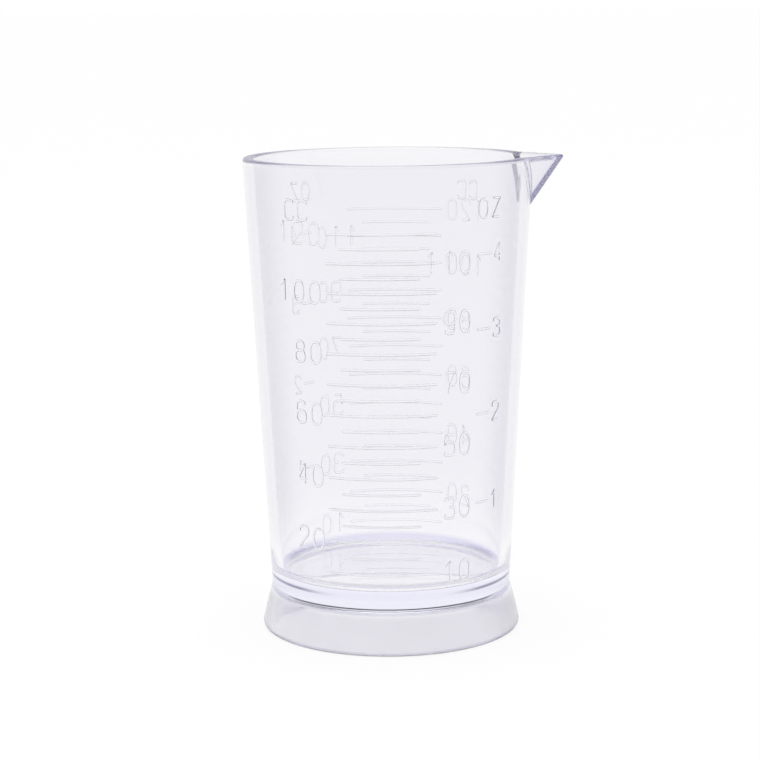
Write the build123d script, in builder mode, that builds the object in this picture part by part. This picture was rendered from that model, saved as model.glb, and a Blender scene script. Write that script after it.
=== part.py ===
from build123d import *
import os
from math import asin, atan2, cos, degrees, radians, sin, sqrt

# Graduated mixing cup moulded in one clear plastic: a tapered wall with a V spout,
# a thick floor at the waist, a flared hollow foot, and raised scales front and back.
# The cup's axis is Z, the foot stands on Z = 0, the spout points to +X and the
# front scale faces -Y. All lengths are in millimetres.

# Tapered body: from rim to waist its radius shrinks by the taper. The wall is measured
# level, because the core is drawn straight up
cup_height = 95.0
rim_radius = 28.65
taper = 4.55
wall = 2.0
rim_round = 0.6

# Floor, a disc that closes the body, with the waist round its edge
floor_top = 12.2
floor_thickness = 3.3
waist_drop = 1.7
corner_round = 2.0
under_round = 1.0

# Foot, a hollow skirt below the floor that flares out from the waist
foot_flare = 2.2
foot_wall = 2.2
foot_round = 1.2

# V spout: reach beyond the rim, width where it leaves the rim, depth of its keel
spout_reach = 6.2
spout_width = 19.6
spout_depth = 9.8
spout_wall = 1.7
nose_round = 1.0
channel_round = 0.5
spout_blend = 1.0
panel_width_share = 1.4

# Raised lines of the scales: how thick they are and how far they stand out
line_thickness = 0.55
line_rise = 0.3

# CC scale: a line each 10 cc, from the first above the floor to the last below the rim,
# and a shorter one halfway between each pair. The steps close up a little as the cup
# widens, so the lines bow up from even spacing. Both ends of a line are given as
# distances round the wall from the middle of its side, + is right
cc_floor_gap = 3.78
cc_rim_gap = 12.79
cc_bow_share = 0.079
cc_steps = 12
cc_long_ends = (-12.55, 9.3)
cc_short_ends = (-9.65, 5.95)

# OZ scale, to the right of the CC scale
oz_height_shares = (0.305, 0.4915, 0.666, 0.819)
oz_ends = (17.85, 21.75)

# The two scales face opposite ways, square to the spout
scale_angles = {"front": -90.0, "back": 90.0}

# Tools that cut run past the faces that they cut by this much
overrun = 1.0

waist_radius = rim_radius - taper
waist_height = floor_top - waist_drop
foot_radius = waist_radius + foot_flare
floor_under = floor_top - floor_thickness
dish_top = floor_top + corner_round
dish_bottom = floor_under - under_round


def outside(height):
    # Outer radius of the tapered body
    return rim_radius - taper * (cup_height - height) / (cup_height - waist_height)


def bore(height):
    # Inner radius of the tapered body
    return outside(height) - wall


def flare(height):
    # Outer radius of the foot, before its lower edge is rounded
    return foot_radius - foot_flare * height / waist_height


def hollow(height):
    # Inner radius of the foot
    return flare(height) - foot_wall


# The spout's keel runs straight from the nose down to the outside of the wall,
# and its two flanks are flat and leave the rim at the spout's full width
nose_reach = rim_radius + spout_reach
root_angle = degrees(asin(spout_width / 2 / rim_radius))
root_reach = rim_radius * cos(radians(root_angle))
half_angle = atan2(spout_width / 2, nose_reach - root_reach)
keel_foot = cup_height - spout_depth
keel_lean = (nose_reach - outside(keel_foot)) / spout_depth

# Below its foot the keel runs on to the middle of the wall, where the V ends
keel_end = cup_height - spout_depth * (1 + wall / 2 / spout_reach)
v_back = bore(keel_end)

# Moved in by this much, the V leaves the spout's wall between itself and the first
channel_inset = spout_wall * sqrt(1 + (keel_lean * sin(half_angle)) ** 2) / sin(half_angle)

# The spout's panel of the wall is a little wider and deeper than the V
panel_angle = root_angle * panel_width_share
panel_bottom = keel_end - wall


def keel(height):
    # How far out the keel is at a height
    return nose_reach - keel_lean * (cup_height - height)


def cc_height(tens):
    # Height of the line for so many tens of cc
    first = floor_top + cc_floor_gap
    last = cup_height - cc_rim_gap
    share = (tens - 1) / (cc_steps - 1)
    return first + (last - first) * share * (1 + cc_bow_share * (1 - share))


def meridian(angle):
    # Upright plane through the cup's axis, whose X points out at this angle
    out = radians(angle)
    return Plane(origin=(0, 0, 0), x_dir=(cos(out), sin(out), 0), z_dir=(sin(out), -cos(out), 0))


def v_section(height, inset, nose):
    # Level section of the V with a rounded nose, moved in by the inset
    tip = keel(height) - inset
    back = v_back - inset
    half_width = (tip - back) * sin(half_angle) / cos(half_angle)
    with BuildSketch(Plane.XY.offset(height)) as section:
        with BuildLine():
            Polyline((tip, 0), (back, half_width), (back, -half_width), close=True)
        make_face()
        fillet(section.vertices().sort_by(Axis.X)[-1], nose)
    return section.sketch


def line_section(height, angle):
    # Cross-section of a raised line, standing on the outside of the wall
    low = height - line_thickness / 2
    high = height + line_thickness / 2
    with BuildSketch(meridian(angle)) as section:
        with BuildLine():
            Polyline(
                (outside(low), low),
                (outside(low) + line_rise, low),
                (outside(high) + line_rise, high),
                (outside(high), high),
                close=True,
            )
        make_face()
    return section.sketch


def raise_lines(heights, ends, scale_angle):
    # A line round the wall at each height, from one end to the other
    for height in heights:
        start, end = (degrees(reach / outside(height)) for reach in ends)
        section = line_section(height, scale_angle + start)
        revolve(section, axis=Axis.Z, revolution_arc=end - start)


# Tapered wall, open at the top and bottom, with a gap for the spout's panel
with BuildPart() as cup_wall:
    with BuildSketch(Plane.XZ) as wall_section:
        with BuildLine():
            Polyline(
                (outside(dish_top), dish_top),
                (rim_radius, cup_height),
                (bore(cup_height), cup_height),
                (bore(dish_top), dish_top),
                close=True,
            )
        make_face()
        fillet(wall_section.vertices().group_by(Axis.Y)[-1], rim_round)
    revolve(axis=Axis.Z)
    with BuildSketch(meridian(-panel_angle)):
        with BuildLine():
            Polyline(
                (bore(panel_bottom) - overrun, panel_bottom),
                (rim_radius + overrun, panel_bottom),
                (rim_radius + overrun, cup_height + overrun),
                (bore(panel_bottom) - overrun, cup_height + overrun),
                close=True,
            )
        make_face()
    revolve(axis=Axis.Z, revolution_arc=2 * panel_angle, mode=Mode.SUBTRACT)

# Spout: a panel of the wall, the V that stands out of it, and the channel through both
with BuildPart() as pouring_spout:
    with BuildSketch(meridian(-panel_angle)):
        with BuildLine():
            Polyline(
                (outside(panel_bottom), panel_bottom),
                (rim_radius, cup_height),
                (bore(cup_height) - overrun, cup_height),
                (bore(panel_bottom) - overrun, panel_bottom),
                close=True,
            )
        make_face()
    revolve(axis=Axis.Z, revolution_arc=2 * panel_angle)
    loft([v_section(keel_end, 0, nose_round), v_section(cup_height, 0, nose_round)], ruled=True)
    fillet(pouring_spout.edges(Select.NEW), spout_blend)

    # The bore of the cup trims the back of the panel
    with BuildSketch(Plane.XZ):
        with BuildLine():
            Polyline(
                (0, panel_bottom - overrun),
                (bore(panel_bottom - overrun), panel_bottom - overrun),
                (bore(cup_height + overrun), cup_height + overrun),
                (0, cup_height + overrun),
                close=True,
            )
        make_face()
    revolve(axis=Axis.Z, mode=Mode.SUBTRACT)

    channel_foot = v_section(keel_end, channel_inset, channel_round)
    channel_mouth = v_section(cup_height + overrun, channel_inset, channel_round)
    loft([channel_foot, channel_mouth], ruled=True, mode=Mode.SUBTRACT)

    # The rim's rounding goes round the lip, but not across the panel's two ends
    lip_edges = pouring_spout.faces().sort_by(Axis.Z)[-1].edges()
    panel_ends = lip_edges.filter_by(GeomType.LINE).sort_by(Axis.X)[:2]
    fillet(lip_edges - panel_ends, rim_round)

# Floor: a disc with the waist round its edge and the starts of the wall and the foot
with BuildPart() as cup_floor:
    with BuildSketch(Plane.XZ):
        with BuildLine():
            Polyline(
                (0, floor_under),
                (hollow(floor_under), floor_under),
                (hollow(dish_bottom), dish_bottom),
                (flare(dish_bottom), dish_bottom),
                (waist_radius, waist_height),
                (outside(dish_top), dish_top),
                (bore(dish_top), dish_top),
                (bore(floor_top), floor_top),
                (0, floor_top),
                close=True,
            )
        make_face()
    revolve(axis=Axis.Z)
    upper_side = cup_floor.faces().filter_by(Axis.Z).sort_by(Axis.Z)[-2]
    fillet(upper_side.edges(), corner_round)
    under_side = cup_floor.faces().filter_by(Axis.Z).sort_by(Axis.Z)[1]
    fillet(under_side.edges(), under_round)

# Foot: a flared skirt that the cup stands on, open below
with BuildPart() as foot_skirt:
    with BuildSketch(Plane.XZ) as skirt_section:
        with BuildLine():
            Polyline(
                (flare(dish_bottom), dish_bottom),
                (hollow(dish_bottom), dish_bottom),
                (hollow(0), 0),
                (foot_radius, 0),
                close=True,
            )
        make_face()
        fillet(skirt_section.vertices().sort_by(Axis.X)[-1], foot_round)
    revolve(axis=Axis.Z)

pieces = {
    "cup_wall": cup_wall,
    "pouring_spout": pouring_spout,
    "cup_floor": cup_floor,
    "foot_skirt": foot_skirt,
}

# Raised lines of the two scales, each group a set of separate lines on the wall
long_heights = [cc_height(tens) for tens in range(1, cc_steps + 1)]
short_heights = [(low + high) / 2 for low, high in zip(long_heights, long_heights[1:])]
oz_heights = [share * cup_height for share in oz_height_shares]
for side, scale_angle in scale_angles.items():
    with BuildPart() as cc_lines:
        raise_lines(long_heights, cc_long_ends, scale_angle)
        raise_lines(short_heights, cc_short_ends, scale_angle)
    with BuildPart() as oz_lines:
        raise_lines(oz_heights, oz_ends, scale_angle)
    pieces[f"{side}_cc_lines"] = cc_lines
    pieces[f"{side}_oz_lines"] = oz_lines

os.makedirs("parts", exist_ok=True)
for name, piece in pieces.items():
    piece.part.label = name
    export_step(piece.part, f"parts/{name}.step")
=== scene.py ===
from math import asin, atan2, cos, hypot, radians, sin, sqrt, tan

import bmesh
import bpy
from mathutils import Matrix, Vector


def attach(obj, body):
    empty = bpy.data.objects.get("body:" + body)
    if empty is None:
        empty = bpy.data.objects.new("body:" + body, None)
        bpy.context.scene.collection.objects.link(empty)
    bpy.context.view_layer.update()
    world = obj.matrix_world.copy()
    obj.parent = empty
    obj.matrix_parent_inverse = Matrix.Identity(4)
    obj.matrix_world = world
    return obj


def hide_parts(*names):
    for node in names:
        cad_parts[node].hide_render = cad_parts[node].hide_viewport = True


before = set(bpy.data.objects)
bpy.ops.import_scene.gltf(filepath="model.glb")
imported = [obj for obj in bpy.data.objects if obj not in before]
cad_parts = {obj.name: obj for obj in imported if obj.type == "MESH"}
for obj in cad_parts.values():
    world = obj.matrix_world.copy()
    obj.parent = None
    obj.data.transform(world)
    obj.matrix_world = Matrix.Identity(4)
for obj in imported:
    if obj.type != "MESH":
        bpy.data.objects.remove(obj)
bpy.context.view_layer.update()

# A clear graduated mixing cup. It is modelled in millimetres on the CAD model's own axes
# (Z up the cup's axis, the spout to +X, the front scale to -Y) and shrunk to metres last.

mm = 0.001

cup = {
    "height": 95.0,
    "rimRadius": 28.65,
    "taper": 4.55,
    "wall": 2.0,
    "rimRound": 0.6,
    "floorTop": 12.2,
    "floorThickness": 4.1,
    "waistDrop": 3.0,
    "waistRound": 3.0,
    "cornerRound": 2.0,
    "underRound": 1.2,
    "footFlare": 2.2,
    "footWall": 2.2,
    "footRound": 1.2,
    "footInnerRound": 0.25,
    "roundSegments": 8,
    "bodyStep": 3.0,
    "turnSteps": 240,
    "mergeWithin": 1e-4,
}

spout = {
    "reach": 6.65,
    "width": 19.6,
    "depth": 10.4,
    "wall": 1.7,
    "noseRound": 0.9,
    "channelRound": 0.5,
    "rootBlend": 0.12,
    "zoneBottom": 83.0,
    "zoneAngle": 24.0,
    "zoneStep": 0.25,
    "zoneTurnSteps": 48,
    "noseAngle": 2.4,
    "noseTurnSteps": 64,
}

waistRadius = cup["rimRadius"] - cup["taper"]
waistHeight = cup["floorTop"] - cup["waistDrop"]
footRadius = waistRadius + cup["footFlare"]
floorUnder = cup["floorTop"] - cup["floorThickness"]


def outside(height):
    # Outer radius of the tapered body
    return cup["rimRadius"] - cup["taper"] * (cup["height"] - height) / (cup["height"] - waistHeight)


def bore(height):
    return outside(height) - cup["wall"]


def hollow(height):
    # Inner radius of the foot
    return footRadius - cup["footFlare"] * height / waistHeight - cup["footWall"]


# The V of the spout: two flat flanks that meet on a straight keel
noseReach = cup["rimRadius"] + spout["reach"]
rootAngle = asin(spout["width"] / 2 / cup["rimRadius"])
halfAngle = atan2(spout["width"] / 2, noseReach - cup["rimRadius"] * cos(rootAngle))
keelLean = (noseReach - outside(cup["height"] - spout["depth"])) / spout["depth"]
channelInset = spout["wall"] * sqrt(1 + (keelLean * sin(halfAngle)) ** 2) / sin(halfAngle)


def keel(height):
    return noseReach - keelLean * (cup["height"] - height)


def flank(tip, angle, rounding):
    # Radius of a V's flank at an angle from the keel, with the tip rounded off
    soft = rounding * (1 / sin(halfAngle) - 1) * tan(halfAngle) / noseReach
    return tip * sin(halfAngle) / sin(halfAngle + hypot(angle, soft))


def smoothMax(a, b, blend):
    near = max(blend - abs(a - b), 0) / blend
    return max(a, b) + near * near * blend / 4


def newPiece(name, bm, material, replaced):
    # Shrinks the finished bmesh to metres and makes it a piece of the cup
    bmesh.ops.scale(bm, vec=(mm, mm, mm), verts=bm.verts)
    bmesh.ops.recalc_face_normals(bm, faces=bm.faces)
    mesh = bpy.data.meshes.new(name)
    bm.to_mesh(mesh)
    bm.free()
    mesh.shade_smooth()
    mesh.materials.append(material)
    piece = bpy.data.objects.new(name, mesh)
    bpy.context.scene.collection.objects.link(piece)
    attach(piece, "root")
    if replaced:
        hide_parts(*replaced)
    print(f"{name}: {sum(len(p.vertices) - 2 for p in mesh.polygons)} triangles")


def roundCorner(bm, corner, radius):
    # Rounds one corner of a profile to a radius
    ends = [(edge.other_vert(corner).co - corner.co).normalized() for edge in corner.link_edges]
    offset = radius / tan(ends[0].angle(ends[1]) / 2)
    bmesh.ops.bevel(
        bm, geom=[corner], offset=offset, offset_type="OFFSET", segments=cup["roundSegments"],
        profile=0.5, affect="VERTICES", material=-1,
    )


def divideSpan(bm, low, high, spacing):
    # Cuts the profile's long edges between two heights into steps
    near = cup["mergeWithin"]
    spans = [
        edge for edge in bm.edges
        if low - near <= min(v.co.z for v in edge.verts)
        and max(v.co.z for v in edge.verts) <= high + near
        and edge.calc_length() > 2 * spacing
    ]
    for edge in spans:
        cuts = round(edge.calc_length() / spacing) - 1
        bmesh.ops.subdivide_edges(bm, edges=[edge], cuts=cuts)


def cupProfile():
    # Half section from the middle of the floor, up the bore, over the rim, and down to the foot
    top = cup["height"]
    low = spout["zoneBottom"]
    places = [
        (0, cup["floorTop"], 0),
        (bore(cup["floorTop"]), cup["floorTop"], cup["cornerRound"]),
        (bore(low), low, 0),
        (bore(top), top, cup["rimRound"]),
        (outside(top), top, cup["rimRound"]),
        (outside(low), low, 0),
        (waistRadius, waistHeight, cup["waistRound"]),
        (footRadius, 0, cup["footRound"]),
        (hollow(0), 0, cup["footInnerRound"]),
        (hollow(floorUnder), floorUnder, cup["underRound"]),
        (0, floorUnder, 0),
    ]
    bm = bmesh.new()
    points = [bm.verts.new((radius, 0, height)) for radius, height, _ in places]
    for start, end in zip(points, points[1:]):
        bm.edges.new((start, end))
    for point, (_, _, radius) in zip(points, places):
        if radius:
            roundCorner(bm, point, radius)
    divideSpan(bm, low, top, spout["zoneStep"])
    divideSpan(bm, 0, low, cup["bodyStep"])
    return bm


def spinCup(bm):
    # Turns the profile round the axis, in fine steps across the spout and coarser ones elsewhere
    zone = radians(spout["zoneAngle"])
    nose = radians(spout["noseAngle"])
    bmesh.ops.rotate(bm, cent=(0, 0, 0), matrix=Matrix.Rotation(-zone, 3, "Z"), verts=bm.verts)
    arcs = [
        (zone - nose, spout["zoneTurnSteps"]),
        (2 * nose, spout["noseTurnSteps"]),
        (zone - nose, spout["zoneTurnSteps"]),
        (radians(360) - 2 * zone, cup["turnSteps"]),
    ]
    ring = bm.verts[:] + bm.edges[:]
    for angle, steps in arcs:
        turned = bmesh.ops.spin(
            bm, geom=ring, cent=(0, 0, 0), axis=(0, 0, 1), angle=angle, steps=steps,
            use_duplicate=False,
        )
        ring = turned["geom_last"]
    bmesh.ops.remove_doubles(bm, verts=bm.verts, dist=cup["mergeWithin"])


def pullSpout(bm):
    # Draws the wall out into the V, keeping its rounded rim across the thickness
    for vert in bm.verts:
        angle = atan2(vert.co.y, vert.co.x)
        height = vert.co.z
        if height < spout["zoneBottom"] or abs(angle) > radians(spout["zoneAngle"]):
            continue
        radius = hypot(vert.co.x, vert.co.y)
        share = (radius - bore(height)) / cup["wall"]
        outerFlank = flank(keel(height), angle, spout["noseRound"])
        innerFlank = flank(keel(height) - channelInset, angle, spout["channelRound"])
        outer = smoothMax(outside(height), outerFlank, spout["rootBlend"])
        inner = smoothMax(bore(height), innerFlank, spout["rootBlend"])
        pulled = inner + share * (outer - inner)
        vert.co.x *= pulled / radius
        vert.co.y *= pulled / radius


def makeCup(material):
    bm = cupProfile()
    spinCup(bm)
    pullSpout(bm)
    newPiece("cup_body", bm, material, ["cup_wall", "pouring_spout", "cup_floor", "foot_skirt"])


scale = {
    "lineWidth": 0.5,
    "lineRise": 0.12,
    "strokeWidth": 0.5,
    "strokeRise": 0.14,
    "backRiseShare": 0.3,
    "faintFrom": 77.5,
    "faintTo": 84.4,
    "faintShare": 0.25,
    "sink": 0.05,
    "sinkBelow": -0.05,
    "shoulder": 0.4,
    "shoulderLimit": 0.9,
    "endThickness": 0.25,
    "endGap": 0.05,
    "beadSides": 4,
    "strokeSteps": 8,
    "floorGap": 3.78,
    "rimGap": 12.79,
    "bowShare": 0.079,
    "steps": 12,
    "longEnds": (-12.55, 9.3),
    "shortEnds": (-9.65, 5.95),
    "ozHeightShares": (0.305, 0.4915, 0.666, 0.819),
    "ozEnds": (17.85, 21.75),
    "digitHeight": 4.1,
    "digitWidth": 2.3,
    "evenTensPlaces": (-22.25, -18.6, -14.93),
    "oddTensPlaces": (8.2, 11.85, 15.25),
    "ozDigitHeight": 3.5,
    "ozDigitWidth": 2.1,
    "ozDigitPlace": 23.5,
    "unitHeight": 3.6,
    "unitWidth": 2.2,
    "unitBase": 86.45,
    "ccPlaces": (-20.65, -17.4),
    "ozPlaces": (19.55, 23.0),
}

# Each mark is one or two strokes in a box 1 wide and 1 high. A stroke is the control
# points of a smooth curve, and it is closed where it starts with "loop"
strokes = {
    "0": [["loop", (0, 0), (1, 0), (1, 1), (0, 1)]],
    "1": [[(0.08, 0.74), (0.3, 0.86), (0.5, 1), (0.5, 1), (0.5, 0.75), (0.5, 0.25), (0.5, 0)]],
    "2": [
        [(0.02, 0.74), (0.02, 1), (0.96, 1.04), (1, 0.62), (0.5, 0.36), (0, 0), (0, 0),
         (0.3, 0), (0.7, 0), (1, 0)],
    ],
    "3": [
        [(0.04, 0.8), (0.08, 1), (0.94, 1), (0.94, 0.55), (0.4, 0.54)],
        [(0.4, 0.54), (1, 0.53), (1, 0), (0.06, 0), (0, 0.22)],
    ],
    "4": [
        [(0.76, 0), (0.76, 0.4), (0.76, 1), (0.76, 1), (0.4, 0.66), (0, 0.28)],
        [(0, 0.28), (0.4, 0.28), (1, 0.28)],
    ],
    "5": [
        [(0.92, 1), (0.5, 1), (0.14, 1), (0.14, 1), (0.08, 0.75), (0.04, 0.54), (0.04, 0.54),
         (0.3, 0.68), (1, 0.68), (1, 0), (0.06, 0), (0, 0.2)],
    ],
    "6": [
        [(0.92, 0.84), (0.84, 1.02), (0.04, 1.04), (0, 0.55), (0, 0.3)],
        ["loop", (0, 0), (1, 0), (1, 0.6), (0, 0.6)],
    ],
    "7": [[(0, 1), (0.5, 1), (1, 1), (1, 1), (0.6, 0.5), (0.34, 0)]],
    "8": [
        ["loop", (0.08, 0.52), (0.92, 0.52), (0.92, 1), (0.08, 1)],
        ["loop", (0, 0), (1, 0), (1, 0.56), (0, 0.56)],
    ],
    "9": [
        ["loop", (0, 0.4), (1, 0.4), (1, 1), (0, 1)],
        [(1, 0.7), (1, 0.45), (0.96, -0.04), (0.16, -0.02), (0.08, 0.16)],
    ],
    "C": [[(1, 0.8), (0.9, 1), (0, 1.04), (0, 0.5), (0, -0.04), (0.9, 0), (1, 0.2)]],
    "O": [["loop", (0, 0), (1, 0), (1, 1), (0, 1)]],
    "Z": [
        [(0, 1), (0.4, 1), (1, 1), (1, 1), (0.6, 0.6), (0.4, 0.4), (0, 0), (0, 0), (0.4, 0), (1, 0)],
    ],
}


def beadMesh(points, closed, width):
    # A round bead along one smooth stroke, rounded at its ends
    curve = bpy.data.curves.new("bead", "CURVE")
    curve.dimensions = "3D"
    curve.twist_mode = "Z_UP"
    curve.bevel_depth = width / 2
    curve.bevel_resolution = scale["beadSides"]
    curve.use_fill_caps = True
    spline = curve.splines.new("NURBS")
    route = [Vector((x, y, 0)) for x, y in points]
    thick = [1.0] * len(route)
    if not closed:
        # A full-width point close to each end, and a thin one at the end itself
        for end, inner in ((0, 1), (-1, -2)):
            reach = width * scale["shoulder"] / (route[end] - route[inner]).length
            shoulder = route[end].lerp(route[inner], min(reach, scale["shoulderLimit"]))
            at = 1 if end == 0 else len(route) - 1
            route.insert(at, shoulder)
            thick.insert(at, 1.0)
        thick[0] = thick[-1] = scale["endThickness"]
    spline.points.add(len(route) - 1)
    for point, place, size in zip(spline.points, route, thick):
        point.co = (*place, 1)
        point.radius = size
    spline.order_u = 3
    spline.use_cyclic_u = closed
    spline.use_endpoint_u = not closed
    spline.resolution_u = scale["strokeSteps"]
    bead = bpy.data.objects.new("bead", curve)
    bpy.context.scene.collection.objects.link(bead)
    bpy.context.view_layer.update()
    mesh = bpy.data.meshes.new_from_object(bead.evaluated_get(bpy.context.evaluated_depsgraph_get()))
    bpy.data.objects.remove(bead)
    bpy.data.curves.remove(curve)
    return mesh


def markMesh(mark, width, height):
    # One numeral or letter: its strokes fused to one solid bead
    solids = []
    for stroke in strokes[mark]:
        closed = stroke[0] == "loop"
        points = [((x - 0.5) * width, (y - 0.5) * height) for x, y in stroke[1 if closed else 0:]]
        mesh = beadMesh(points, closed, scale["strokeWidth"])
        solid = bpy.data.objects.new("stroke", mesh)
        bpy.context.scene.collection.objects.link(solid)
        solids.append(solid)
    for other in solids[1:]:
        fuse = solids[0].modifiers.new("fuse", "BOOLEAN")
        fuse.operation = "UNION"
        fuse.solver = "EXACT"
        fuse.object = other
    bpy.context.view_layer.update()
    joined = bpy.data.meshes.new_from_object(
        solids[0].evaluated_get(bpy.context.evaluated_depsgraph_get())
    )
    for solid in solids:
        bpy.data.objects.remove(solid)
    return joined


def lineMesh(ends):
    # A straight bead between two places round the wall
    start = ends[0] + scale["endGap"]
    end = ends[1] - scale["endGap"]
    steps = max(round(end - start), 4)
    points = [(start + (end - start) * step / steps, 0) for step in range(steps + 1)]
    return beadMesh(points, False, scale["lineWidth"])


def addFlat(bm, mesh, x, y):
    # Puts a mark on the flat artwork, x round the wall and y up it
    before = len(bm.verts)
    bm.from_mesh(mesh)
    bm.verts.ensure_lookup_table()
    bmesh.ops.translate(bm, vec=(x, y, 0), verts=bm.verts[before:])


def wrapOnWall(bm, facing, rise, width):
    # Flattens the beads' tops, sinks their undersides and bends the artwork on to the wall's taper.
    # The highest lines, between two heights, are the faintest
    for vert in bm.verts:
        height = vert.co.y
        depth = vert.co.z / (width / 2)
        full = rise
        if scale["faintFrom"] < height < scale["faintTo"]:
            full = rise * scale["faintShare"]
        proud = full * (2 * depth ** 2 - depth ** 4) if depth > 0 else 0
        if depth < scale["sinkBelow"]:
            proud = -scale["sink"]
        angle = radians(facing) + vert.co.x / outside(height)
        radius = outside(height) + proud
        vert.co = (radius * cos(angle), radius * sin(angle), height)


def ccHeight(tens):
    first = cup["floorTop"] + scale["floorGap"]
    last = cup["height"] - scale["rimGap"]
    share = (tens - 1) / (scale["steps"] - 1)
    return first + (last - first) * share * (1 + scale["bowShare"] * (1 - share))


def tensNumerals(digits, heights):
    # The numerals beside the long lines: even tens to the left of them, odd tens to the right
    placed = []
    for tens, height in enumerate(heights, 1):
        places = scale["oddTensPlaces"] if tens % 2 else scale["evenTensPlaces"]
        text = str(tens * 10)
        placed += [(digits[mark], place, height) for mark, place in zip(text, places[-len(text):])]
    return placed


def unitName(units, marks, places):
    return [(units[mark], place, scale["unitBase"]) for mark, place in zip(marks, places)]


def makeScales(material):
    digits = {mark: markMesh(mark, scale["digitWidth"], scale["digitHeight"]) for mark in "0123456789"}
    ozDigits = {mark: markMesh(mark, scale["ozDigitWidth"], scale["ozDigitHeight"]) for mark in "1234"}
    units = {mark: markMesh(mark, scale["unitWidth"], scale["unitHeight"]) for mark in "COZ"}
    longLine, shortLine, ozLine = (lineMesh(scale[key]) for key in ("longEnds", "shortEnds", "ozEnds"))
    longHeights = [ccHeight(tens) for tens in range(1, scale["steps"] + 1)]
    shortHeights = [(low + high) / 2 for low, high in zip(longHeights, longHeights[1:])]
    ozHeights = [share * cup["height"] for share in scale["ozHeightShares"]]

    ccLines = [(longLine, 0, height) for height in longHeights]
    ccLines += [(shortLine, 0, height) for height in shortHeights]
    ozLines = [(ozLine, 0, height) for height in ozHeights]
    ccNumerals = tensNumerals(digits, longHeights) + unitName(units, "CC", scale["ccPlaces"])
    ozNumerals = [
        (ozDigits[mark], scale["ozDigitPlace"], height) for mark, height in zip("1234", ozHeights)
    ]
    ozNumerals += unitName(units, "OZ", scale["ozPlaces"])

    for side, facing, riseShare in (("front", -90, 1.0), ("back", 90, scale["backRiseShare"])):
        lineSize = (scale["lineRise"] * riseShare, scale["lineWidth"])
        strokeSize = (scale["strokeRise"] * riseShare, scale["strokeWidth"])
        for name, artwork, size, replaced in (
            ("cc_raised_lines", ccLines, lineSize, [f"{side}_cc_lines"]),
            ("oz_raised_lines", ozLines, lineSize, [f"{side}_oz_lines"]),
            ("cc_numerals", ccNumerals, strokeSize, []),
            ("oz_numerals", ozNumerals, strokeSize, []),
        ):
            bm = bmesh.new()
            for mesh, x, y in artwork:
                addFlat(bm, mesh, x, y)
            wrapOnWall(bm, facing, *size)
            newPiece(f"{side}_{name}", bm, material, replaced)


plastic = {
    "ior": 1.59,
    "wallTint": (0.93, 0.925, 0.95, 1),
    "floorTint": (0.99, 0.985, 0.995, 1),
    "footTint": (0.835, 0.822, 0.882, 1),
    # Painted shade: a dark blue line along the spout's keel
    "keelShade": (0.66, 0.62, 1.0, 1),
    "bandTint": (0.9, 0.9, 0.95, 1),
    # Painted shade: a darker ring in the bottom corner between the floor and the bore
    "cornerShade": (0.66, 0.65, 0.87, 1),
    "markTint": (1.0, 1.0, 1.0, 1),
    # Painted shade: darker colour where the wall turns away from the view
    "edgeShade": (0.75, 0.745, 0.8, 1),
    "edgeFacing": (0.3, 0.75),
    # Painted shade: dark lines on the waist where it turns away from the view
    "waistShade": (0.06, 0.06, 0.13, 1),
    "waistFacing": (0.12, 0.4),
    "bodyColour": (0.45, 0.4, 0.95, 1),
    "bodyDensity": 2.2,
    "flowDepth": 0.05,
    "flowHeight": 0.4,
    "flowScale": 90.0,
    "flowStretch": 0.22,
    "scuffRoughness": 0.04,
    "scuffScale": 260.0,
    "scuffRange": (0.45, 0.75),
    "cloudScale": 120.0,
    "cloudRange": (0.3, 0.65),
    "cloudLeast": 0.4,
    "footRoughness": 0.22,
    "rimRoughness": 0.3,
}

# Where the zones of the skin fade in or out. The first eleven pairs are heights. Then come the
# distances to either side of the keel, inwards from it, and from the cup's axis
zones = {
    "discTop": (12.0, 30.0),
    "footTop": (6.6, 8.2),
    "wallFoot": (14.0, 22.0),
    "wallTop": (93.5, 94.5),
    "rimFoot": (94.1, 94.6),
    "bandTop": (11.5, 13.0),
    "waistFoot": (11.0, 11.45),
    "waistTop": (11.5, 12.1),
    "cornerFoot": (12.22, 12.5),
    "cornerTop": (13.0, 14.2),
    "keelFoot": (84.6, 87.2),
    "keelSide": (1.8, 2.4),
    "keelDepth": 1.3,
    "keelSoft": 0.5,
    "outerSide": (22.6, 23.2),
}


def addNode(tree, kind, **values):
    node = tree.nodes.new(kind)
    for name, value in values.items():
        node.inputs[name.replace("_", " ")].default_value = value
    return node


def mathNode(tree, operation, *values):
    node = tree.nodes.new("ShaderNodeMath")
    node.operation = operation
    for socket, value in zip(node.inputs, values):
        if isinstance(value, float):
            socket.default_value = value
        else:
            tree.links.new(value, socket)
    return node.outputs["Value"]


def mapNode(tree, value, fromMin, fromMax, toMin, toMax):
    node = tree.nodes.new("ShaderNodeMapRange")
    node.interpolation_type = "SMOOTHSTEP"
    ends = {"From Min": fromMin, "From Max": fromMax, "To Min": toMin, "To Max": toMax}
    for name, number in ends.items():
        if isinstance(number, float):
            node.inputs[name].default_value = number
        else:
            tree.links.new(number, node.inputs[name])
    tree.links.new(value, node.inputs["Value"])
    return node.outputs["Result"]


def colourMix(tree, share, first, second):
    node = tree.nodes.new("ShaderNodeMix")
    node.data_type = "RGBA"
    tree.links.new(share, node.inputs["Factor"])
    for socket, colour in ((node.inputs["A"], first), (node.inputs["B"], second)):
        if isinstance(colour, tuple):
            socket.default_value = colour
        else:
            tree.links.new(colour, socket)
    return node.outputs["Result"]


def fadeIn(tree, value, zone):
    return mapNode(tree, value, zone[0] * mm, zone[1] * mm, 0.0, 1.0)


def fadeOut(tree, value, zone):
    return mapNode(tree, value, zone[0] * mm, zone[1] * mm, 1.0, 0.0)


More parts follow.
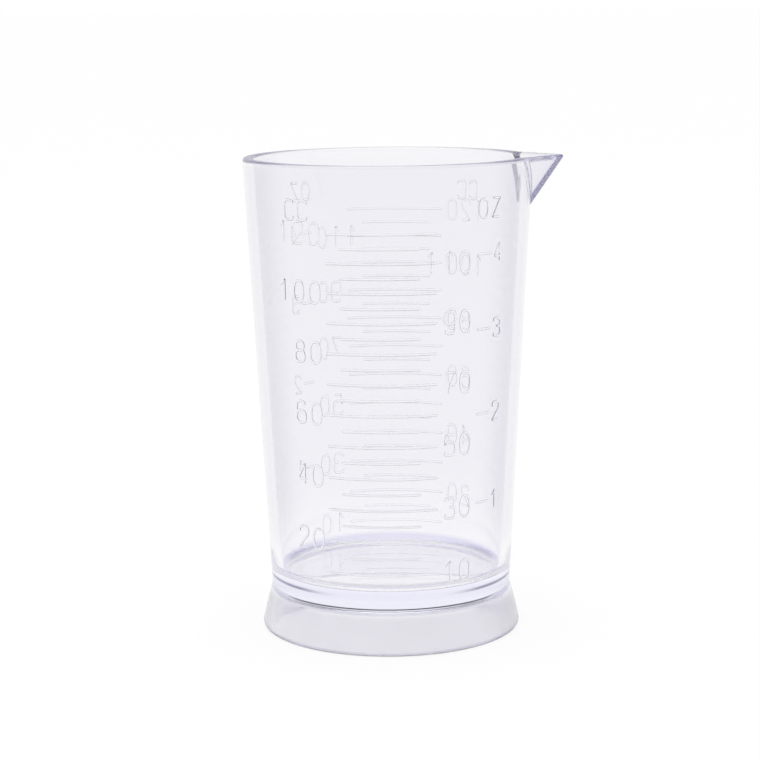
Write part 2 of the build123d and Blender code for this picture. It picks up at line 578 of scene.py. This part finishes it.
def keelShadeMask(group, split):
    # The keel's edge of the V, where one looks along solid plastic: the mask of a painted dark shade
    # line there
    start = keel(0) - zones["keelDepth"]
    alongKeel = mathNode(group, "MULTIPLY_ADD", split.outputs["Z"], -keelLean, split.outputs["X"])
    edge = fadeIn(group, alongKeel, (start - zones["keelSoft"], start))
    sideways = mathNode(group, "ABSOLUTE", split.outputs["Y"])
    narrow = fadeOut(group, sideways, zones["keelSide"])
    high = fadeIn(group, split.outputs["Z"], zones["keelFoot"])
    return mathNode(group, "MULTIPLY", edge, mathNode(group, "MULTIPLY", narrow, high))


def axisDistance(group, split):
    level = group.nodes.new("ShaderNodeCombineXYZ")
    group.links.new(split.outputs["X"], level.inputs["X"])
    group.links.new(split.outputs["Y"], level.inputs["Y"])
    length = group.nodes.new("ShaderNodeVectorMath")
    length.operation = "LENGTH"
    group.links.new(level.outputs["Vector"], length.inputs[0])
    return length.outputs["Value"]


def skinZones(group, split):
    # Masks of the skin's zones: the whole lower part, the foot, the wall between the floor and the
    # rim, the keel, and three narrow rings at the floor. The keel, the bore's corner ring, the wall and
    # the waist ring carry painted shade
    height = split.outputs["Z"]
    radius = axisDistance(group, split)
    outer = fadeIn(group, radius, zones["outerSide"])
    inner = fadeOut(group, radius, zones["outerSide"])
    wall = (fadeOut(group, height, zones["wallTop"]), fadeIn(group, height, zones["wallFoot"]))
    waist = (fadeIn(group, height, zones["waistFoot"]), fadeOut(group, height, zones["waistTop"]))
    corner = (fadeIn(group, height, zones["cornerFoot"]), fadeOut(group, height, zones["cornerTop"]))
    return {
        "disc": fadeOut(group, height, zones["discTop"]),
        "foot": fadeOut(group, height, zones["footTop"]),
        "wall": mathNode(group, "MULTIPLY", *wall),
        "keel": keelShadeMask(group, split),
        "band": mathNode(group, "MULTIPLY", outer, fadeOut(group, height, zones["bandTop"])),
        "waist": mathNode(group, "MULTIPLY", outer, mathNode(group, "MULTIPLY", *waist)),
        "corner": mathNode(group, "MULTIPLY", inner, mathNode(group, "MULTIPLY", *corner)),
    }


def skinRoughness(group, given, place, foot, height):
    # Fine scuffs all over, a clouded haze on the foot and an even one on the rim
    scuff = addNode(group, "ShaderNodeTexNoise", Scale=plastic["scuffScale"], Detail=4.0, Roughness=0.6)
    group.links.new(place, scuff.inputs["Vector"])
    most = given.outputs["Scuff Roughness"]
    worn = mapNode(group, scuff.outputs["Fac"], *plastic["scuffRange"], 0.0, most)
    cloud = addNode(group, "ShaderNodeTexNoise", Scale=plastic["cloudScale"], Detail=2.0, Roughness=0.5)
    group.links.new(place, cloud.inputs["Vector"])
    haze = mapNode(group, cloud.outputs["Fac"], *plastic["cloudRange"], plastic["cloudLeast"], 1.0)
    clouded = mathNode(group, "MULTIPLY", haze, foot)
    footHaze = mathNode(group, "MULTIPLY", clouded, given.outputs["Foot Roughness"])
    rim = fadeIn(group, height, zones["rimFoot"])
    rimHaze = mathNode(group, "MULTIPLY", rim, given.outputs["Rim Roughness"])
    return mathNode(group, "ADD", worn, mathNode(group, "ADD", footHaze, rimHaze))


def skinNormal(group, given, place):
    # Slow waves of the flow in the mould, stretched upwards
    flow = addNode(group, "ShaderNodeTexNoise", Scale=plastic["flowScale"], Detail=2.0, Roughness=0.4)
    stretch = addNode(group, "ShaderNodeMapping", Scale=(1, 1, plastic["flowStretch"]))
    group.links.new(place, stretch.inputs["Vector"])
    group.links.new(stretch.outputs["Vector"], flow.inputs["Vector"])
    bump = addNode(group, "ShaderNodeBump", Distance=plastic["flowHeight"] * mm)
    group.links.new(given.outputs["Flow Depth"], bump.inputs["Strength"])
    group.links.new(flow.outputs["Fac"], bump.inputs["Height"])
    return bump.outputs["Normal"]


def mouldedSurface():
    # Shader group for the moulded skin: its tints by zone, with painted shade on the keel and in the
    # bore's bottom corner, its masks, roughness and flow waves
    group = bpy.data.node_groups.new("moulded_surface", "ShaderNodeTree")
    colour, number, vector = "NodeSocketColor", "NodeSocketFloat", "NodeSocketVector"
    for name, side, kind in (
        ("Wall Tint", "INPUT", colour),
        ("Floor Tint", "INPUT", colour),
        ("Foot Tint", "INPUT", colour),
        ("Keel Shade", "INPUT", colour),
        ("Band Tint", "INPUT", colour),
        ("Corner Shade", "INPUT", colour),
        ("Scuff Roughness", "INPUT", number),
        ("Foot Roughness", "INPUT", number),
        ("Rim Roughness", "INPUT", number),
        ("Flow Depth", "INPUT", number),
        ("Tint", "OUTPUT", colour),
        ("Wall Mask", "OUTPUT", number),
        ("Waist Mask", "OUTPUT", number),
        ("Roughness", "OUTPUT", number),
        ("Normal", "OUTPUT", vector),
    ):
        group.interface.new_socket(name=name, in_out=side, socket_type=kind)
    given = group.nodes.new("NodeGroupInput")
    result = group.nodes.new("NodeGroupOutput")

    place = group.nodes.new("ShaderNodeTexCoord").outputs["Object"]
    split = group.nodes.new("ShaderNodeSeparateXYZ")
    group.links.new(place, split.inputs["Vector"])
    masks = skinZones(group, split)
    tint = given.outputs["Wall Tint"]
    for zone, name in (
        ("disc", "Floor Tint"), ("keel", "Keel Shade"), ("band", "Band Tint"),
        ("corner", "Corner Shade"), ("foot", "Foot Tint"),
    ):
        tint = colourMix(group, masks[zone], tint, given.outputs[name])
    roughness = skinRoughness(group, given, place, masks["foot"], split.outputs["Z"])
    for name, value in (
        ("Tint", tint),
        ("Wall Mask", masks["wall"]),
        ("Waist Mask", masks["waist"]),
        ("Roughness", roughness),
        ("Normal", skinNormal(group, given, place)),
    ):
        group.links.new(value, result.inputs[name])
    return group


def clearPlastic(name, group, tints):
    # Clear plastic whose skin has the tints and painted shades given, by the names of the group's
    # inputs
    material = bpy.data.materials.new(name)
    material.use_nodes = True
    tree = material.node_tree
    shader = tree.nodes["Principled BSDF"]
    shader.inputs["IOR"].default_value = plastic["ior"]
    shader.inputs["Transmission Weight"].default_value = 1.0
    shader.inputs["Metallic"].default_value = 0.0
    skin = tree.nodes.new("ShaderNodeGroup")
    skin.name = "skin"
    skin.node_tree = group
    for socket, value in tints.items():
        skin.inputs[socket].default_value = value
    for socket, key in (
        ("Scuff Roughness", "scuffRoughness"),
        ("Foot Roughness", "footRoughness"),
        ("Rim Roughness", "rimRoughness"),
        ("Flow Depth", "flowDepth"),
    ):
        skin.inputs[socket].default_value = plastic[key]
    tree.links.new(skin.outputs["Tint"], shader.inputs["Base Color"])
    tree.links.new(skin.outputs["Roughness"], shader.inputs["Roughness"])
    tree.links.new(skin.outputs["Normal"], shader.inputs["Normal"])
    return material


def paintShadeAndAbsorption(material):
    # Painted shade darkens the body's colour where the wall and the waist turn away from the view; the
    # plastic also absorbs light and is darker where it is thick
    tree = material.node_tree
    skin = tree.nodes["skin"]
    facing = addNode(tree, "ShaderNodeLayerWeight", Blend=0.5).outputs["Facing"]
    tint = skin.outputs["Tint"]
    for mask, turned, paintedShade in (
        ("Wall Mask", plastic["edgeFacing"], plastic["edgeShade"]),
        ("Waist Mask", plastic["waistFacing"], plastic["waistShade"]),
    ):
        share = mathNode(tree, "MULTIPLY", mapNode(tree, facing, *turned, 0.0, 1.0), skin.outputs[mask])
        tint = colourMix(tree, share, tint, paintedShade)
    tree.links.new(tint, tree.nodes["Principled BSDF"].inputs["Base Color"])
    absorb = addNode(
        tree, "ShaderNodeVolumeAbsorption", Color=plastic["bodyColour"], Density=plastic["bodyDensity"],
    )
    tree.links.new(absorb.outputs["Volume"], tree.nodes["Material Output"].inputs["Volume"])


studio = {
    "floorSize": 30.0,
    "floorColour": (0.8, 0.8, 0.8, 1),
    "floorRoughness": 0.9,
    "floorWhite": 1.04,
    "floorWhiteShare": 0.85,
    "focalPixels": 2217.4,
    "imagePixels": 760,
    "sensorWidth": 36.0,
    "nearestSeen": 0.01,
    "farthestSeen": 200.0,
    "cameraPlace": (-0.001883, -0.43899, 0.12492),
    "pitch": 0.1688,
    "roll": -0.009,
    "lampPlace": (-0.1, -0.1, 0.9),
    "lampAim": (0, 0, 0.05),
    "lampSize": (0.9, 0.9),
    "lampPower": 2.0,
    # Light goes round inside the clear plastic many times before it comes out
    "bounces": 96,
    "roomStrength": 0.9,
    # Colours of the room straight behind the cup, by the sine of the elevation
    "roomRamp": (
        (0.16, (1.0, 1.0, 1.0, 1)),
        (0.31, (0.95, 0.95, 0.99, 1)),
        (0.36, (0.03, 0.03, 0.05, 1)),
        (0.86, (0.03, 0.03, 0.05, 1)),
        (0.9, (0.8, 0.8, 0.8, 1)),
        (1.0, (0.8, 0.8, 0.8, 1)),
    ),
    # How far back a direction points where the ramp fades in, and the colour of the rest
    "roomBehind": (0.25, 0.5),
    "roomSides": (0.95, 0.95, 0.97, 1),
}


def seenDirectly(tree):
    # 1 for what the camera sees, also in a reflection or through the plastic
    path = tree.nodes.new("ShaderNodeLightPath")
    total = path.outputs["Is Camera Ray"]
    for name in ("Is Glossy Ray", "Is Transmission Ray"):
        total = mathNode(tree, "MAXIMUM", total, path.outputs[name])
    return total


def makeFloor():
    bm = bmesh.new()
    bmesh.ops.create_grid(bm, x_segments=1, y_segments=1, size=studio["floorSize"])
    mesh = bpy.data.meshes.new("studio_floor")
    bm.to_mesh(mesh)
    bm.free()
    floor = bpy.data.objects.new("studio_floor", mesh)
    bpy.context.scene.collection.objects.link(floor)
    material = bpy.data.materials.new("pale_floor")
    material.use_nodes = True
    tree = material.node_tree
    shader = tree.nodes["Principled BSDF"]
    shader.inputs["Base Color"].default_value = studio["floorColour"]
    shader.inputs["Roughness"].default_value = studio["floorRoughness"]
    shader.inputs["Specular IOR Level"].default_value = 0.0
    white = addNode(tree, "ShaderNodeEmission", Strength=studio["floorWhite"])
    share = mathNode(tree, "MULTIPLY", seenDirectly(tree), studio["floorWhiteShare"])
    mix = tree.nodes.new("ShaderNodeMixShader")
    tree.links.new(share, mix.inputs["Fac"])
    tree.links.new(shader.outputs["BSDF"], mix.inputs[1])
    tree.links.new(white.outputs["Emission"], mix.inputs[2])
    tree.links.new(mix.outputs["Shader"], tree.nodes["Material Output"].inputs["Surface"])
    mesh.materials.append(material)


def makeWorld():
    # White all round but for the dark room behind, between the sweep and a soft box overhead
    world = bpy.data.worlds.new("studio")
    bpy.context.scene.world = world
    world.use_nodes = True
    tree = world.node_tree
    ground = tree.nodes["Background"]
    ground.inputs["Color"].default_value = (1, 1, 1, 1)
    ground.inputs["Strength"].default_value = studio["roomStrength"]

    place = tree.nodes.new("ShaderNodeTexCoord")
    split = tree.nodes.new("ShaderNodeSeparateXYZ")
    tree.links.new(place.outputs["Generated"], split.inputs["Vector"])
    ramp = tree.nodes.new("ShaderNodeValToRGB")
    stops = ramp.color_ramp.elements
    while len(stops) < len(studio["roomRamp"]):
        stops.new(0.5)
    for stop, (position, colour) in zip(stops, studio["roomRamp"]):
        stop.position = position
        stop.color = colour
    tree.links.new(split.outputs["Z"], ramp.inputs["Fac"])
    behind = mapNode(tree, split.outputs["Y"], *studio["roomBehind"], 0.0, 1.0)
    seenGround = tree.nodes.new("ShaderNodeBackground")
    tree.links.new(
        colourMix(tree, behind, studio["roomSides"], ramp.outputs["Color"]),
        seenGround.inputs["Color"],
    )
    mix = tree.nodes.new("ShaderNodeMixShader")
    tree.links.new(seenDirectly(tree), mix.inputs["Fac"])
    tree.links.new(ground.outputs["Background"], mix.inputs[1])
    tree.links.new(seenGround.outputs["Background"], mix.inputs[2])
    tree.links.new(mix.outputs["Shader"], tree.nodes["World Output"].inputs["Surface"])


def makeLamp():
    light = bpy.data.lights.new("overhead_softbox", "AREA")
    light.shape = "RECTANGLE"
    light.size, light.size_y = studio["lampSize"]
    light.energy = studio["lampPower"]
    lamp = bpy.data.objects.new("overhead_softbox", light)
    place = Vector(studio["lampPlace"])
    lamp.location = place
    lamp.rotation_euler = (Vector(studio["lampAim"]) - place).to_track_quat("-Z", "Y").to_euler()
    bpy.context.scene.collection.objects.link(lamp)


def makeCamera():
    data = bpy.data.cameras.new("camera")
    data.sensor_width = studio["sensorWidth"]
    data.lens = studio["focalPixels"] * data.sensor_width / studio["imagePixels"]
    data.clip_start = studio["nearestSeen"]
    data.clip_end = studio["farthestSeen"]
    camera = bpy.data.objects.new("camera", data)
    bpy.context.scene.collection.objects.link(camera)
    pitch = Matrix.Rotation(radians(90) - studio["pitch"], 4, "X")
    roll = Matrix.Rotation(studio["roll"], 4, "Z")
    camera.matrix_world = Matrix.Translation(studio["cameraPlace"]) @ pitch @ roll
    bpy.context.scene.camera = camera


skinGroup = mouldedSurface()
tintAndShadeNames = {
    "Wall Tint": "wallTint",
    "Floor Tint": "floorTint",
    "Foot Tint": "footTint",
    "Keel Shade": "keelShade",
    "Band Tint": "bandTint",
    "Corner Shade": "cornerShade",
}
bodyTintsAndShades = {socket: plastic[key] for socket, key in tintAndShadeNames.items()}
bodyPlastic = clearPlastic("clear_polystyrene", skinGroup, bodyTintsAndShades)
paintShadeAndAbsorption(bodyPlastic)
markTints = {socket: plastic["markTint"] for socket in tintAndShadeNames}
markPlastic = clearPlastic("clear_polystyrene_marks", skinGroup, markTints)
print("materials: ready")
makeScales(markPlastic)
makeCup(bodyPlastic)
makeFloor()
makeWorld()
makeLamp()
makeCamera()
print("studio: ready")

render = bpy.context.scene
render.view_settings.view_transform = "Standard"
render.cycles.max_bounces = studio["bounces"]
render.cycles.transmission_bounces = studio["bounces"]
render.cycles.glossy_bounces = studio["bounces"]
